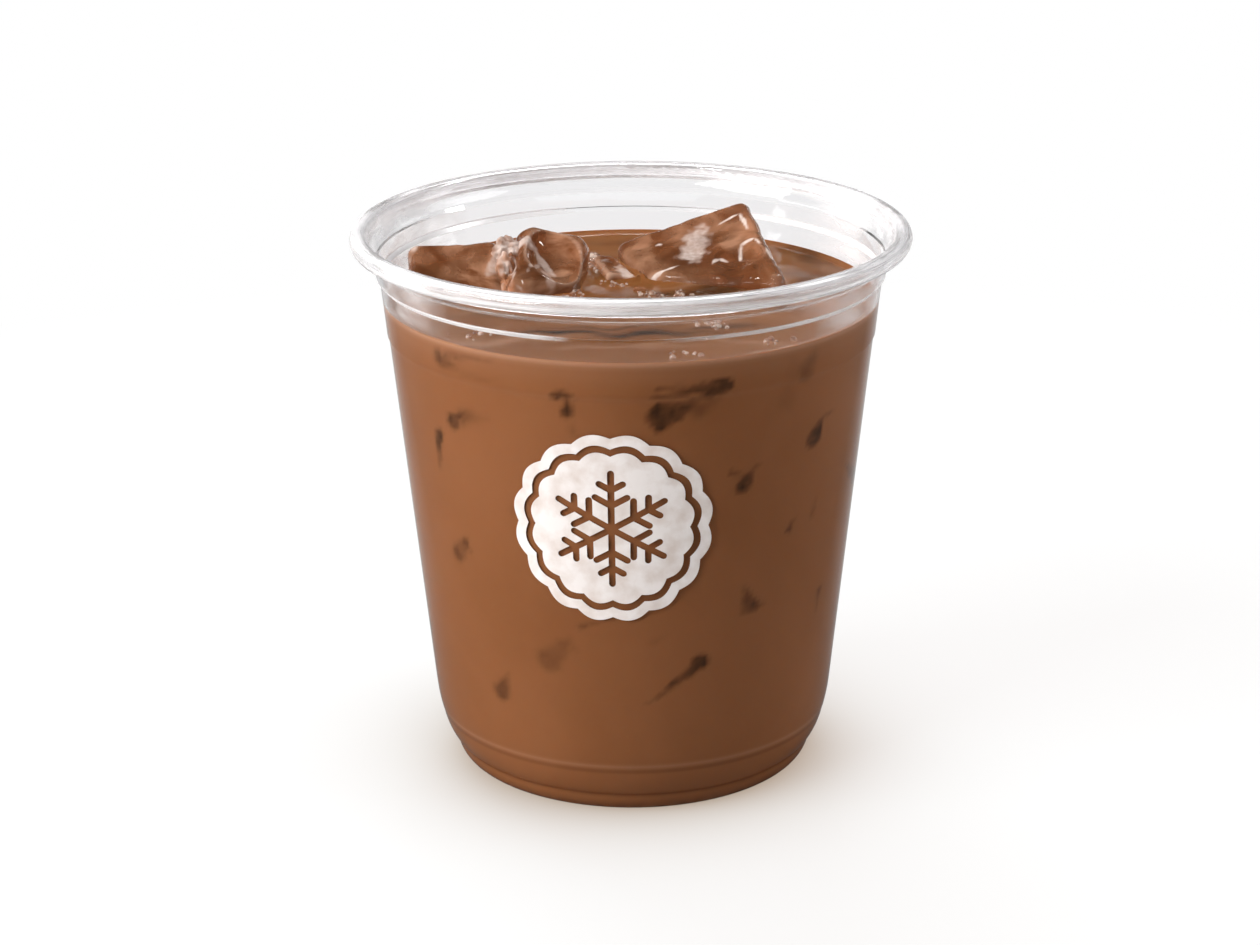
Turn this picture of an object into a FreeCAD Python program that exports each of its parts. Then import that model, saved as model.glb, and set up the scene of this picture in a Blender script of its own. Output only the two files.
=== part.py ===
import FreeCAD, Part
import os
import re
from collections import namedtuple

import Sketcher
from FreeCAD import Vector

# An iced chocolate in a clear cold-drink cup: a thin pressed shell with a rolled
# rim, the drink that fills it, and the ice that floats in the drink.
# Millimetres, +Z up, origin on the floor at the centre of the foot. The cup turns
# about Z; -Y is the front.

SIZES = {
    # the shell
    "rim_diameter": 98.0,  # over the rolled rim
    "cup_height": 97.6,  # floor to the top of the roll
    "wall": 0.6,
    "roll_diameter": 3.2,  # thickness of the rolled rim
    # the neck steps outward twice under the roll
    "collar_drop": 5.2,  # below the top of the cup
    "collar_inset": 4.2,  # in from the outside of the roll
    "collar_step": 0.6,
    "neck_drop": 8.5,
    "neck_inset": 5.05,
    "neck_step": 0.6,
    "ring_rise": 0.6,  # height over which each of the steps runs
    "flare_round": 6.0,
    # the stacking step, where the straight wall moves outward a little
    "stack_drop": 18.6,
    "stack_step": 0.25,
    # the rounded shoulder, the band below it and the foot
    "shoulder_diameter": 71.6,
    "shoulder_height": 14.0,
    "shoulder_round": 30.0,
    "crease_diameter": 70.0,
    "crease_height": 9.4,
    "crease_step": 0.2,
    "band_diameter": 65.9,
    "band_round": 12.5,
    "groove_step": 0.7,
    "foot_diameter": 60.2,
    "foot_height": 3.5,
    "foot_round": 3.6,
    "recess_diameter": 54.0,  # the raised middle of the base
    "recess_height": 2.2,
    # the drink
    "headspace": 12.4,  # from the top of the cup down to the drink
    # gaps along the row of floating ice, from the left wall to the right
    "shore_gap": 2.4,  # the wall to the left piece, at its underside
    "seam_gap": 0.7,
    "pool_gap": 5.6,
    # the slab of ice at the left
    "left_length": 17.4,
    "left_width": 20.0,
    "left_depth": 13.0,
    "left_skew": 0.0,
    "left_flare": 0.4,
    "left_draft": 2.6,
    "left_round": 2.2,
    "left_back": 39.3,  # from the back wall to the middle of the piece
    "left_rise": 3.4,  # middle of its upper face above the drink
    "left_turn": 5.0,
    "left_pitch": -0.8,
    "left_roll": 23.0,
    # the melted lump in the middle
    "centre_length": 15.0,
    "centre_width": 22.0,
    "centre_depth": 16.0,
    "centre_skew": 5.0,
    "centre_flare": -3.0,
    "centre_draft": 3.0,
    "centre_round": 3.4,
    "centre_back": 35.0,
    "centre_rise": 5.4,
    "centre_turn": 12.0,
    "centre_pitch": 8.0,
    "centre_roll": 15.0,
    "scoop_length": 10.5,  # the hollow melted into its upper face
    "scoop_width": 18.0,
    "scoop_depth": 2.2,
    "scoop_across": 0.6,  # its middle, from the middle of the face
    "scoop_along": -0.5,
    # the big block at the right
    "right_length": 25.6,
    "right_width": 24.6,
    "right_depth": 17.0,
    "right_skew": -6.2,
    "right_flare": 8.8,
    "right_draft": 3.0,
    "right_round": 1.8,
    "right_back": 27.2,
    "right_rise": 4.1,
    "right_turn": -2.7,
    "right_pitch": -10.1,
    "right_roll": 14.0,
    "dimple_length": 9.0,
    "dimple_width": 8.0,
    "dimple_depth": 0.9,
    "dimple_across": 7.4,
    "dimple_along": -4.6,
    # the thin splinter between the lump and the block
    "chip_length": 11.0,
    "chip_width": 4.6,
    "chip_depth": 3.4,
    "chip_skew": 1.2,
    "chip_flare": 1.4,
    "chip_draft": 0.6,
    "chip_round": 0.7,
    "chip_forward": 1.6,  # from the middle of the block's left side
    "chip_gap": 0.4,
    "chip_rise": 1.5,
    "chip_turn": -69.0,
    "chip_pitch": 4.0,
    "chip_roll": -8.0,
}

doc = FreeCAD.newDocument("IcedChocolate")
sheet = doc.addObject("Spreadsheet::Sheet", "Sizes")
for row, (name, value) in enumerate(SIZES.items(), start=1):
    sheet.set(f"A{row}", name)
    sheet.set(f"B{row}", str(value))
    sheet.setAlias(f"B{row}", name)
doc.recompute()


def bound(text):
    """An expression over the sheet, from one written with bare size names."""
    return re.sub(r"\b[a-z_]+\b", lambda word: f"Sizes.{word[0]}" if word[0] in SIZES else word[0], text)


def now(text):
    """What such an expression comes to as the sheet stands."""
    return float(sheet.evalExpression(bound(text)))


# ---- outlines -------------------------------------------------------------------


def plane_of(body, role):
    return next(item for item in body.Origin.OriginFeatures if item.Role == role)


def new_sketch(body, name, role, lift="0"):
    """A sketch on one of the body's own origin planes, raised along its normal."""
    sketch = body.newObject("Sketcher::SketchObject", name)
    sketch.AttachmentSupport = [(plane_of(body, role), "")]
    sketch.MapMode = "FlatFace"
    sketch.setExpression("AttachmentOffset.Base.z", bound(lift))
    return sketch


# A corner of an outline, and the arc that leads on from it to the next corner, or
# None for a straight edge. The sizes are expressions over the sheet.
Corner = namedtuple("Corner", "name across up arc", defaults=[None])
# A gentle arc is the short way round its circle and a full one is the long way.
Arc = namedtuple("Arc", "radius full anticlockwise", defaults=[False, True])


def arc_between(start, end, radius, full):
    """The arc of that radius that runs anticlockwise from start to end."""
    chord = end - start
    reach = max(radius**2 - chord.Length**2 / 4, 0.0) ** 0.5
    inward = Vector(-chord.y, chord.x, 0).normalize()
    centre = (start + end) * 0.5 + inward * (-reach if full else reach)

    def heading(spot):
        turn = Vector(1, 0, 0).getAngle(spot - centre)
        return turn if spot.y >= centre.y else -turn

    circle = Part.Circle(centre, Vector(0, 0, 1), radius)
    return Part.ArcOfCircle(circle, heading(start), heading(end))


def bind(sketch, name, kind, where, text):
    """Adds a dimension to a sketch and ties it to the sheet."""
    index = sketch.addConstraint(Sketcher.Constraint(kind, *where, now(text)))
    sketch.renameConstraint(index, name)
    sketch.setExpression(f"Constraints[{index}]", bound(text))


def draw_outline(sketch, corners):
    """Closes a ring of corners, with every corner and arc tied to the sheet."""
    spots = [Vector(now(corner.across), now(corner.up), 0) for corner in corners]
    for corner, start, end in zip(corners, spots, spots[1:] + spots[:1]):
        if corner.arc is None:
            sketch.addGeometry(Part.LineSegment(start, end))
            continue
        ends = (start, end) if corner.arc.anticlockwise else (end, start)
        sketch.addGeometry(arc_between(*ends, now(corner.arc.radius), corner.arc.full))

    # which end of each edge, 1 or 2, is the one at its own corner
    firsts = [1 if corner.arc is None or corner.arc.anticlockwise else 2 for corner in corners]
    for number, corner in enumerate(corners):
        here = (number, firsts[number])
        before = (number or len(corners)) - 1
        sketch.addConstraint(Sketcher.Constraint("Coincident", before, 3 - firsts[before], *here))
        for kind, word, axis in (("DistanceX", "across", -2), ("DistanceY", "up", -1)):
            text = getattr(corner, word)
            if text == "0":
                sketch.addConstraint(Sketcher.Constraint("PointOnObject", *here, axis))
            else:
                bind(sketch, f"{corner.name}_{word}", kind, (-1, 1, *here), text)
        if corner.arc is not None:
            bind(sketch, f"{corner.name}_arc", "Radius", (number,), corner.arc.radius)
    doc.recompute()


def turned(name, corners):
    """A body turned about Z from its half outline."""
    body = doc.addObject("PartDesign::Body", name)
    sketch = new_sketch(body, f"{name}_outline", "XZ_Plane")
    draw_outline(sketch, corners)
    turn = body.newObject("PartDesign::Revolution", f"{name}_turn")
    turn.Profile = sketch
    turn.ReferenceAxis = (sketch, ["V_Axis"])
    turn.Angle = 360.0
    doc.recompute()
    return body


# ---- the shell and what fills it ------------------------------------------------

STACK = "(cup_height - stack_drop)"
NECK = "(cup_height - neck_drop)"
COLLAR = "(cup_height - collar_drop)"
NECK_RADIUS = "(rim_diameter / 2 - neck_inset)"
COLLAR_RADIUS = "(rim_diameter / 2 - collar_inset)"
# one straight taper runs from the shoulder to the neck, with the stacking step in it
TAPER = f"(({NECK_RADIUS} - stack_step - shoulder_diameter / 2) / ({NECK} - shoulder_height))"
STACK_RADIUS = f"(shoulder_diameter / 2 + {TAPER} * ({STACK} - shoulder_height))"
LEVEL = "(cup_height - headspace)"
LEVEL_RADIUS = f"(shoulder_diameter / 2 + stack_step - wall + {TAPER} * ({LEVEL} - shoulder_height))"
ROLL_RADIUS = "(rim_diameter / 2 - roll_diameter / 2)"
ROLL_HEIGHT = "(cup_height - roll_diameter / 2)"

# the outside of the shell, from the foot up to the neck and on to the roll
SIDE = [
    Corner("foot", "foot_diameter / 2", "0", Arc("foot_round")),
    Corner("groove_low", "band_diameter / 2 - groove_step", "foot_height"),
    Corner("groove_high", "band_diameter / 2", "foot_height + groove_step", Arc("band_round")),
    Corner("crease_low", "crease_diameter / 2 - crease_step", "crease_height - ring_rise"),
    Corner("crease_high", "crease_diameter / 2", "crease_height", Arc("shoulder_round")),
    Corner("shoulder", "shoulder_diameter / 2", "shoulder_height"),
    Corner("stack_low", STACK_RADIUS, STACK),
    Corner(
        "stack_high",
        f"{STACK_RADIUS} + stack_step + {TAPER} * ring_rise / 2",
        f"{STACK} + ring_rise / 2",
    ),
]
MOUTH = [
    Corner("neck_low", NECK_RADIUS, NECK),
    Corner("neck_high", f"{NECK_RADIUS} + neck_step", f"{NECK} + ring_rise"),
    Corner("collar_low", COLLAR_RADIUS, COLLAR),
    Corner(
        "collar_high",
        f"{COLLAR_RADIUS} + collar_step",
        f"{COLLAR} + ring_rise",
        Arc("flare_round"),
    ),
]
# the roll goes over the top and round until its free edge points back at the wall
ROLL = [
    Corner(
        "roll_inner",
        "rim_diameter / 2 - roll_diameter + wall",
        ROLL_HEIGHT,
        Arc("roll_diameter / 2 - wall", full=True, anticlockwise=False),
    ),
    Corner("edge_inner", ROLL_RADIUS, f"{ROLL_HEIGHT} - roll_diameter / 2 + wall"),
    Corner("edge_outer", ROLL_RADIUS, "cup_height - roll_diameter", Arc("roll_diameter / 2", full=True)),
    Corner(
        "roll_outer",
        "rim_diameter / 2 - roll_diameter",
        ROLL_HEIGHT,
        Arc("flare_round", anticlockwise=False),
    ),
]
UNDERSIDE = [
    Corner("under_middle", "0", "recess_height"),
    Corner("under_edge", "recess_diameter / 2", "recess_height"),
    Corner("foot_inner", "recess_diameter / 2", "0"),
]
FLOOR = [
    Corner("floor_middle", "0", "recess_height + wall"),
    Corner("floor_edge", "recess_diameter / 2 + wall", "recess_height + wall"),
    Corner("channel_inner", "recess_diameter / 2 + wall", "wall"),
    Corner("channel_outer", "foot_diameter / 2 - wall / 2", "wall", Arc("foot_round")),
]


def inside(corners):
    """The same corners on the inside of the shell."""
    return [
        corner._replace(name=f"{corner.name}_in", across=f"{corner.across} - wall")
        for corner in corners
    ]


def backwards(corners):
    """The same stretch of outline, drawn the other way."""
    arcs = [arc and arc._replace(anticlockwise=not arc.anticlockwise) for _, _, _, arc in corners[:-1]]
    return [corner._replace(arc=arc) for corner, arc in zip(corners[::-1], arcs[::-1] + [None])]


cup = turned("cup", UNDERSIDE + SIDE + MOUTH + ROLL + backwards(FLOOR + inside(SIDE[1:] + MOUTH)))
surface = [Corner("shore", LEVEL_RADIUS, LEVEL), Corner("level_middle", "0", LEVEL)]
filling = turned("filling", FLOOR + inside(SIDE[1:]) + surface)

# ---- the floating ice -----------------------------------------------------------


def quad(name, inset):
    """An uneven four-sided face: skewed, and longer at one side than at the other."""
    long, wide = f"({name}_length / 2 - {inset})", f"({name}_width / 2 - {inset})"
    skew, flare = f"{name}_skew / 2", f"{name}_flare / 2"
    return [
        Corner("front_left", f"-{long} - {skew}", f"-{wide} + {flare}"),
        Corner("front_right", f"{long} - {skew}", f"-{wide} - {flare}"),
        Corner("back_right", f"{long} + {skew}", f"{wide} + {flare}"),
        Corner("back_left", f"-{long} + {skew}", f"{wide} - {flare}"),
    ]


def ice(name, across, along, hollow=None):
    """One piece of ice, made about the middle of its upper face and then set afloat."""
    body = doc.addObject("PartDesign::Body", f"ice_{name}")
    upper = new_sketch(body, f"{name}_upper", "XY_Plane")
    draw_outline(upper, quad(name, "0"))
    lower = new_sketch(body, f"{name}_lower", "XY_Plane", f"-{name}_depth")
    draw_outline(lower, quad(name, f"{name}_draft"))
    block = body.newObject("PartDesign::AdditiveLoft", f"{name}_block")
    block.Profile = upper
    block.Sections = [lower]
    block.Ruled = True
    doc.recompute()
    melt = body.newObject("PartDesign::Fillet", f"{name}_melt")
    melt.Base = (block, [f"Edge{number}" for number in range(1, len(block.Shape.Edges) + 1)])
    melt.setExpression("Radius", bound(f"{name}_round"))
    doc.recompute()
    if hollow:
        # an ellipsoid with its middle on the face, so that its lower half is the hollow
        bowl = body.newObject("PartDesign::SubtractiveEllipsoid", f"{name}_hollow")
        bowl.AttachmentSupport = [(plane_of(body, "XY_Plane"), "")]
        bowl.MapMode = "FlatFace"
        bowl.setExpression("AttachmentOffset.Base.x", bound(f"{hollow}_across"))
        bowl.setExpression("AttachmentOffset.Base.y", bound(f"{hollow}_along"))
        bowl.setExpression("Radius1", bound(f"{hollow}_depth"))
        bowl.setExpression("Radius2", bound(f"{hollow}_length / 2"))
        bowl.setExpression("Radius3", bound(f"{hollow}_width / 2"))
        doc.recompute()
    body.setExpression("Placement.Base.x", bound(across))
    body.setExpression("Placement.Base.y", bound(along))
    body.setExpression("Placement.Base.z", bound(f"{LEVEL} + {name}_rise"))
    for turn, word in (("Yaw", "turn"), ("Pitch", "pitch"), ("Roll", "roll")):
        body.setExpression(f"Placement.Rotation.{turn}", bound(f"{name}_{word}"))
    doc.recompute()
    return body


def shore(name):
    """The inside radius of the tapering wall level with the underside of a piece."""
    return f"({LEVEL_RADIUS} - {TAPER} * ({name}_depth - {name}_rise))"


# the row starts at the left wall, and each piece is laid against the one before
LEFT = f"(shore_gap + left_length / 2 - {shore('left')})"
CENTRE = f"({LEFT} + left_length / 2 + seam_gap + centre_length / 2)"
RIGHT = f"({CENTRE} + centre_length / 2 + pool_gap + right_length / 2)"
# the splinter follows the slanting left side of the block
CHIP = f"({RIGHT} - right_length / 2 - chip_forward * right_skew / right_width - chip_gap - chip_width / 2)"

pieces = [
    ice("left", LEFT, f"{shore('left')} - left_back"),
    ice("centre", CENTRE, f"{shore('centre')} - centre_back", hollow="scoop"),
    ice("right", RIGHT, f"{shore('right')} - right_back", hollow="dimple"),
    ice("chip", CHIP, f"{shore('right')} - right_back - chip_forward"),
]

floating = doc.addObject("Part::Compound", "floating")
floating.Links = pieces
drink = doc.addObject("Part::Cut", "drink")
drink.Base = filling
drink.Tool = floating
doc.recompute()

# ---- checks and files -----------------------------------------------------------

for item in doc.Objects:
    if {"Invalid", "Error"} & set(item.State):
        raise RuntimeError(f"{item.Name} did not build: {item.State}")
for piece in pieces:
    for hollow in (item for item in piece.Group if item.TypeId.startswith("PartDesign::Subtractive")):
        if hollow.Shape.Volume >= hollow.BaseFeature.Shape.Volume:
            raise RuntimeError(f"{hollow.Name} cut nothing")
if drink.Shape.Volume >= filling.Shape.Volume:
    raise RuntimeError("the ice displaces no drink")

os.makedirs("parts", exist_ok=True)
for part in [cup, drink, *pieces]:
    part.Label = part.Name
    if part.Shape.isNull() or not part.Shape.isValid() or len(part.Shape.Solids) != 1:
        raise RuntimeError(f"{part.Label} is not one sound solid")
    part.Shape.exportStep(f"parts/{part.Label}.step")
    box = part.Shape.BoundBox
    print(
        f"{part.Label:12s} {part.Shape.Volume / 1000:8.2f} cm3  x {box.XMin:.1f}..{box.XMax:.1f}"
        f"  y {box.YMin:.1f}..{box.YMax:.1f}  z {box.ZMin:.1f}..{box.ZMax:.1f}"
    )
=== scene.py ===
"""The looks of the iced chocolate: a clear pressed cup, the milky drink in it, and the ice.

Metres, +Z up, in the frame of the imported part: the origin is on the floor at the centre
of the foot, and -Y is the front.
"""

import math
import random
from collections import namedtuple

import bmesh
import bpy
import numpy as np
from mathutils import Euler, Matrix, Vector, noise
from mathutils.bvhtree import BVHTree


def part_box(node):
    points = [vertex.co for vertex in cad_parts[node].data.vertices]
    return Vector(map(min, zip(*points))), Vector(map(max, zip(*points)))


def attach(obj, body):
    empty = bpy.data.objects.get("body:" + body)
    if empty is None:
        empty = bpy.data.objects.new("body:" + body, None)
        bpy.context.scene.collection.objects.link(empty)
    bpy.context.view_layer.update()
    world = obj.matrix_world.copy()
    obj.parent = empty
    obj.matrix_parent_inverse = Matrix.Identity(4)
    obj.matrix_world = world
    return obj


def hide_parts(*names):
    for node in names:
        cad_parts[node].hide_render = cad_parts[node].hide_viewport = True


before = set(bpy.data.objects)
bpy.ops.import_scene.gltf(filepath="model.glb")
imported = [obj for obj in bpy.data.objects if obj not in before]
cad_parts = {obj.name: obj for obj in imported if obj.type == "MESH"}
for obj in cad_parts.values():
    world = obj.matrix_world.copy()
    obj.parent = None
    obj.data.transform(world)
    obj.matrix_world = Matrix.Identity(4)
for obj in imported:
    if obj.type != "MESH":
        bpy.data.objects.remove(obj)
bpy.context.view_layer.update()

MM = 0.001

# ---- sizes, worked out from the frame ----

CUP_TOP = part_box("cup")[1].z
RIM_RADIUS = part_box("cup")[1].x
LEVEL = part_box("drink")[1].z
WALL = 0.6 * MM
EMBED = 0.25 * MM  # how far the drink reaches into the wall, and the ice into the drink
LIP = 0.3 * MM  # how far the drink climbs the wall above its level
SEGMENTS = 320  # round the drink
CURL = 1.6 * MM  # half the thickness of the rolled rim
CURL_RADIUS = RIM_RADIUS - CURL
CURL_HEIGHT = CUP_TOP - CURL
COLLAR = CUP_TOP - 5.2 * MM
NECK = CUP_TOP - 8.5 * MM
STACKING = CUP_TOP - 18.6 * MM
SHOULDER = 14 * MM
CREASE = 9.4 * MM
GROOVE = 3.5 * MM
FOOT_INSIDE = 29.6 * MM  # radius of the drink's lowest ring
RECESS_INSIDE = 27.6 * MM  # radius of the hollow under the foot, with its wall
RECESS_TOP = 2.8 * MM
POOL = LEVEL - 0.35 * MM  # the flat of the surface, a little below its edge
LAST_BOUNCE = 7.5  # rays of light that have bounced more often than this pass through clear things


def vertices_of(mesh):
    """The corners of a mesh as rows of x, y and z."""
    co = np.empty(len(mesh.vertices) * 3, np.float32)
    mesh.vertices.foreach_get("co", co)
    return co.reshape(-1, 3).astype(float)


def side_profile():
    """The heights and radii of the inside of the shell, from the solid that fills it."""
    x, y, z = vertices_of(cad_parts["drink"].data).T
    radius = np.hypot(x, y)
    foot = radius[z < z.min() + 0.01 * MM].max()
    on_side = radius > np.interp(z, [z.min(), LEVEL], [foot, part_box("drink")[1].x]) - 1.5 * MM
    heights = np.unique(np.round(z[on_side], 5))
    radii = [radius[np.abs(z - height) < 0.01 * MM].max() for height in heights]
    return heights, np.array(radii)


SIDE_HEIGHTS, SIDE_RADII = side_profile()


def inner_radius(height):
    return float(np.interp(height, SIDE_HEIGHTS, SIDE_RADII))


# ---- small helpers ----


def make_object(name, mesh, material):
    """A smooth-shaded object with one material."""
    piece = bpy.data.objects.new(name, mesh)
    bpy.context.scene.collection.objects.link(piece)
    piece.data.materials.clear()
    piece.data.materials.append(material)
    piece.data.shade_smooth()
    return piece


def applied(piece):
    """Swaps a piece's mesh for what its modifiers make of it."""
    graph = bpy.context.evaluated_depsgraph_get()
    mesh = bpy.data.meshes.new_from_object(piece.evaluated_get(graph))
    old = piece.data
    piece.modifiers.clear()
    piece.data = mesh
    bpy.data.meshes.remove(old)
    return mesh


def tree_of(mesh):
    return BVHTree.FromPolygons(
        [vertex.co for vertex in mesh.vertices],
        [tuple(face.vertices) for face in mesh.polygons],
    )


def write_attribute(mesh, name, values):
    """A named number at each corner of a mesh, for its material."""
    attribute = mesh.attributes.new(name, "FLOAT", "POINT")
    attribute.data.foreach_set("value", values)


def add_to(joined, part):
    """Adds one bmesh to another, and frees it."""
    mesh = bpy.data.meshes.new("part")
    part.to_mesh(mesh)
    joined.from_mesh(mesh)
    bpy.data.meshes.remove(mesh)
    part.free()


def as_mesh(name, shape):
    """A mesh made from a bmesh, which is freed."""
    mesh = bpy.data.meshes.new(name)
    shape.to_mesh(mesh)
    shape.free()
    return mesh


def bell(value, middle, most, width):
    return most * math.exp(-(((value - middle) / width) ** 2))


def fade(distance, reach):
    return math.exp(-max(distance, 0.0) / reach)


# ---- materials ----

LAMP_TINT = (0.97, 0.97, 0.97, 1)  # what clear things leave of the light they let through
PET_WHITE = (0.92, 0.915, 0.925, 1)
# the painted highlight on the curl: its pale and grey streaks, and its dark specks
PET_HIGHLIGHT, PET_HIGHLIGHT_GREY = (0.86, 0.85, 0.87, 1), (0.66, 0.64, 0.68, 1)
PET_HIGHLIGHT_SPECK = (0.34, 0.30, 0.29, 1)
# paler milk on the surface, and the painted highlight lines
CREAM_AND_HIGHLIGHT = (0.42, 0.235, 0.15, 1)
# the painted shade lines on the side
LINE_SHADE_COLOUR = (0.10, 0.032, 0.010, 1)
OVER_ICE = (0.034, 0.013, 0.005, 1)
ICE_BROWN, ICE_CLOUD = (0.27, 0.108, 0.046, 1), (0.52, 0.265, 0.155, 1)
ICE_VEIN = (0.22, 0.080, 0.032, 1)
# the painted highlight on the ice's edges
ICE_EDGE_HIGHLIGHT = (0.66, 0.42, 0.30, 1)
# frost, and painted glints on the ice
ICE_FROST_AND_GLINT = (0.80, 0.68, 0.62, 1)
THIN_PRINT, FULL_PRINT = (0.66, 0.58, 0.545, 1), (0.80, 0.755, 0.745, 1)
BUBBLE_BROWN, BUBBLE_PALE = (0.40, 0.20, 0.12, 1), (0.92, 0.80, 0.72, 1)


def add_node(tree, kind, inputs=(), **settings):
    """A shader node with its settings made and its inputs filled or linked."""
    made = tree.nodes.new(f"ShaderNode{kind}")
    for setting, value in settings.items():
        setattr(made, setting, value)
    for socket, value in dict(inputs).items():
        if isinstance(value, bpy.types.NodeSocket):
            tree.links.new(value, made.inputs[socket])
        else:
            made.inputs[socket].default_value = value
    return made


class Shader:
    """A material with one Principled shader, and short calls for the nodes behind it."""

    def __init__(self, name, **sockets):
        self.material = bpy.data.materials.new(name)
        self.material.use_nodes = True
        self.tree = self.material.node_tree
        self.principled = self.tree.nodes["Principled BSDF"]
        self.output = self.tree.nodes["Material Output"]
        for socket, value in sockets.items():
            self.principled.inputs[socket.replace("_", " ")].default_value = value

    def node(self, kind, inputs=(), **settings):
        return add_node(self.tree, kind, inputs, **settings)

    def link(self, source, socket):
        self.tree.links.new(source, self.principled.inputs[socket])

    def place(self):
        """Position in the part's own frame."""
        return self.node("TexCoord").outputs["Object"]

    def noise(self, per_metre, detail=3.0, stretch=(1, 1, 1), roughness=0.5, distortion=0.0, at=None):
        mapping = self.node("Mapping", {"Vector": at or self.place(), "Scale": stretch})
        texture = self.node(
            "TexNoise",
            {
                "Vector": mapping.outputs["Vector"],
                "Scale": per_metre,
                "Detail": detail,
                "Roughness": roughness,
                "Distortion": distortion,
            },
        )
        return texture.outputs["Fac"]

    def attribute(self, name):
        return self.node("Attribute", attribute_name=name).outputs["Fac"]

    def spread(self, source, low, high, new_low=0.0, new_high=1.0):
        """Takes the range low to high to the new range, and stops at its ends."""
        return self.node(
            "MapRange",
            {"Value": source, "From Min": low, "From Max": high, "To Min": new_low, "To Max": new_high},
        ).outputs["Result"]

    def maths(self, operation, first, second=0.0):
        return self.node("Math", {0: first, 1: second}, operation=operation).outputs["Value"]

    def square(self, value):
        return self.maths("MULTIPLY", value, value)

    def window(self, value, low, high, soft):
        """1 between low and high, and fading to 0 over a soft margin outside them."""
        rise = self.spread(value, low - soft, low)
        fall = self.spread(value, high, high + soft, 1, 0)
        return self.maths("MULTIPLY", rise, fall)

    def blend(self, factor, first, second):
        """A mix of two colours."""
        return self.node("Mix", {0: factor, 6: first, 7: second}, data_type="RGBA").outputs[2]

    def bump(self, height, distance):
        made = self.node("Bump", {"Height": height, "Distance": distance})
        self.link(made.outputs["Normal"], "Normal")

    def let_lamps_through(self):
        """Clear for the rays that carry lamp light and soft light to what lies behind.

        Light caught in the thin wall comes out again after many bounces, so late rays pass too.
        """
        path = self.node("LightPath").outputs
        late = self.maths("GREATER_THAN", path["Ray Depth"], LAST_BOUNCE)
        carried = self.maths("MAXIMUM", path["Is Shadow Ray"], path["Is Diffuse Ray"])
        clear = self.node("BsdfTransparent", {"Color": LAMP_TINT})
        mix = self.node(
            "MixShader",
            {0: self.maths("MAXIMUM", carried, late), 1: self.principled.outputs[0], 2: clear.outputs[0]},
        )
        self.tree.links.new(mix.outputs[0], self.output.inputs["Surface"])


def painted_curl_highlights(shader, degrees, up):
    """Two painted highlight bands round the curl, and a little white all over it."""
    over = shader.window(degrees, 30, 72, 12)
    under = shader.window(degrees, -44, -8, 8)
    bands = shader.maths("MAXIMUM", shader.maths("ADD", over, under), 0.5)
    on_curl = shader.spread(up, CUP_TOP - 3.4 * MM, CUP_TOP - 2.8 * MM)
    return shader.maths("MULTIPLY", bands, on_curl)


def painted_step_highlight(shader, across, up):
    """A painted highlight on the neck step, white at the sides and clear over a stretch of the front. The
    collar's painted highlight is faint.
    """
    left_part = shader.spread(across, -10 * MM, -16 * MM)
    right_part = shader.spread(across, 4 * MM, 26 * MM)
    sides = shader.maths("MAXIMUM", left_part, right_part)
    neck_line = shader.window(up, NECK + 0.05 * MM, NECK + 0.6 * MM, 0.25 * MM)
    neck = shader.maths("MULTIPLY", neck_line, sides)
    collar = shader.window(up, COLLAR, COLLAR + 0.7 * MM, 0.2 * MM)
    return shader.maths("ADD", shader.maths("MULTIPLY", neck, 0.7), shader.maths("MULTIPLY", collar, 0.08))


def painted_flank_reflection(shader, across, up):
    """A painted reflection: the wall over the drink is cloudy white at the two sides, where it is seen edge
    on.
    """
    flanks = shader.spread(shader.maths("ABSOLUTE", across), 30 * MM, 43 * MM, 0, 0.5)
    clouds = shader.spread(shader.noise(60, detail=4, stretch=(1, 1, 3)), 0.42, 0.66)
    above = shader.spread(up, LEVEL, LEVEL + 2 * MM)
    return shader.maths("MULTIPLY", shader.maths("MULTIPLY", clouds, flanks), above)


def clear_plastic():
    """Thin pressed PET: clear and glossy, turned white by painted highlights on the curl and the steps, and
    by painted reflections on the two sides.
    """
    shader = Shader("clear_pet", IOR=1.5)
    across, along, up = shader.node("SeparateXYZ", {0: shader.place()}).outputs
    radius = shader.maths("SQRT", shader.maths("ADD", shader.square(across), shader.square(along)))
    curl_turn = shader.maths(
        "ARCTAN2",
        shader.maths("SUBTRACT", up, CURL_HEIGHT),
        shader.maths("SUBTRACT", radius, CURL_RADIUS),
    )
    degrees = shader.maths("DEGREES", curl_turn)
    curl_highlight = painted_curl_highlights(shader, degrees, up)

    # streaks in the painted highlight run round the curl: slow along it and quick across it
    run = shader.node("CombineXYZ", {0: across, 1: along, 2: shader.maths("MULTIPLY", degrees, 0.0012)})
    streaks = shader.noise(70, detail=4, roughness=0.65, at=run.outputs[0])
    streaked_highlight = shader.maths("MULTIPLY", curl_highlight, shader.spread(streaks, 0.36, 0.62, 0.08, 0.66))
    steps = painted_step_highlight(shader, across, up)
    painted_white = shader.maths("ADD", streaked_highlight, shader.maths("MAXIMUM", steps, painted_flank_reflection(shader, across, up)))
    # dark specks and grey streaks in the painted curl highlight
    specks = shader.spread(shader.noise(420, detail=2), 0.68, 0.76)
    grey = shader.blend(shader.spread(streaks, 0.5, 0.66), PET_HIGHLIGHT, PET_HIGHLIGHT_GREY)
    tint = shader.blend(shader.maths("MULTIPLY", curl_highlight, specks), grey, PET_HIGHLIGHT_SPECK)
    # the painted light turns the wall white, less clear and rougher
    shader.link(shader.blend(painted_white, PET_WHITE, tint), "Base Color")
    shader.link(shader.spread(painted_white, 0, 1, 1, 0), "Transmission Weight")
    shader.link(shader.spread(painted_white, 0, 1, 0.02, 0.3), "Roughness")
    shader.bump(shader.noise(90, detail=2, stretch=(1, 1, 0.3)), 0.00005)
    shader.let_lamps_through()
    return shader.material


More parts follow.
